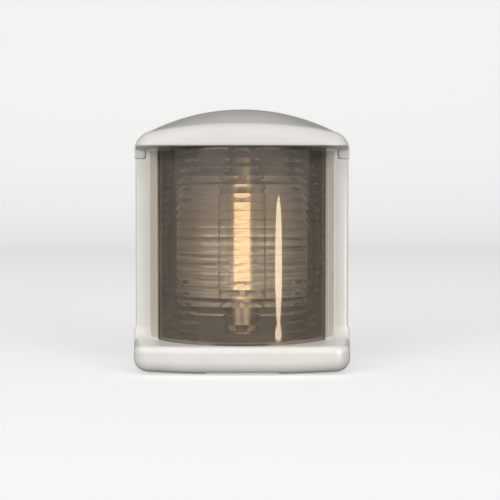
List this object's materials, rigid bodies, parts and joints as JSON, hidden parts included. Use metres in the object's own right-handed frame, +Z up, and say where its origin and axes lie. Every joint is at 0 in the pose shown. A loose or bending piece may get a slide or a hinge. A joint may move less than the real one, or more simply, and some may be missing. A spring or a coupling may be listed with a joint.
{
  "type": "navigation light",
  "caption": "Wall-mounted boat navigation light: hinged white housing with cap and half-round ribbed lens over a festoon bulb, on a screwed and sealed base.",
  "frame": {"origin": "on the mounting plane, midway between the two mounting screw holes, at half the height of the lens", "axes": "+Z up, -Y out of the mounting surface towards the viewer, +X to the viewer's right"},
  "size_m": [0.065, 0.0475, 0.0772],
  "materials": {
    "white_plastic": "satin moulded white",
    "base_plastic": "matt black moulded",
    "screen_plastic": "matt black",
    "foam_rubber": "closed cell foam",
    "seal_rubber": "smooth rubber",
    "reflector_metal": "satin rolled sheet",
    "clip_steel": "stainless",
    "contact_brass": "tinned brass strip",
    "screw_brass": "turned brass",
    "cap_metal": "nickel plated",
    "bulb_glass": "clear glass",
    "filament": "glowing tungsten coil",
    "filament_wire": "nickel wire",
    "lens_plastic": "smoke tinted clear plastic"
  },
  "bodies": {
    "base": {"base_plate": "base_plastic", "mounting_gasket": "foam_rubber", "base_seal": "seal_rubber", "cable_grommet": "seal_rubber", "reflector_plate": "reflector_metal", "reflector_clips": "clip_steel", "terminal_bracket_upper": "contact_brass", "terminal_bracket_lower": "contact_brass", "terminal_screws": "screw_brass", "terminal_saddles": "contact_brass", "contact_rivets": "contact_brass"},
    "upper_contact": {"contact_blade_upper": "contact_brass"},
    "lower_contact": {"contact_blade_lower": "contact_brass"},
    "bulb": {"bulb_glass": "bulb_glass", "bulb_cap_upper": "cap_metal", "bulb_cap_lower": "cap_metal", "bulb_filament": "filament", "bulb_supports": "filament_wire"},
    "cover": {"front_housing": "white_plastic", "top_cap": "white_plastic", "cap_screws": "clip_steel", "lens": "lens_plastic", "lens_seal_upper": "seal_rubber", "lens_seal_lower": "seal_rubber", "cutoff_screen_left": "screen_plastic", "cutoff_screen_right": "screen_plastic"},
    "latch": {"latch_tab": "white_plastic"}
  },
  "joints": [
    {"name": "cover_open", "type": "hinge", "parent": "base", "child": "cover", "pos_m": [0, -0.004, 0.037], "axis": [-1, 0, 0], "range_deg": [0, 75], "deforming": ["latch_tab"]},
    {"name": "latch_flex", "type": "hinge", "parent": "cover", "child": "latch", "pos_m": [0, -0.026, -0.0351], "axis": [-1, 0, 0], "range_deg": [0, 5]},
    {"name": "bulb_pull", "type": "slide", "parent": "base", "child": "bulb", "axis": [0, -1, 0], "range_m": [0, 0.013]},
    {"name": "upper_contact_flex", "type": "hinge", "parent": "base", "child": "upper_contact", "pos_m": [0, -0.0104, 0.02081], "axis": [-1, 0, 0], "range_deg": [0, 1.9]},
    {"name": "lower_contact_flex", "type": "hinge", "parent": "base", "child": "lower_contact", "pos_m": [0, -0.0104, -0.02081], "axis": [1, 0, 0], "range_deg": [0, 1.9]}
  ]
}
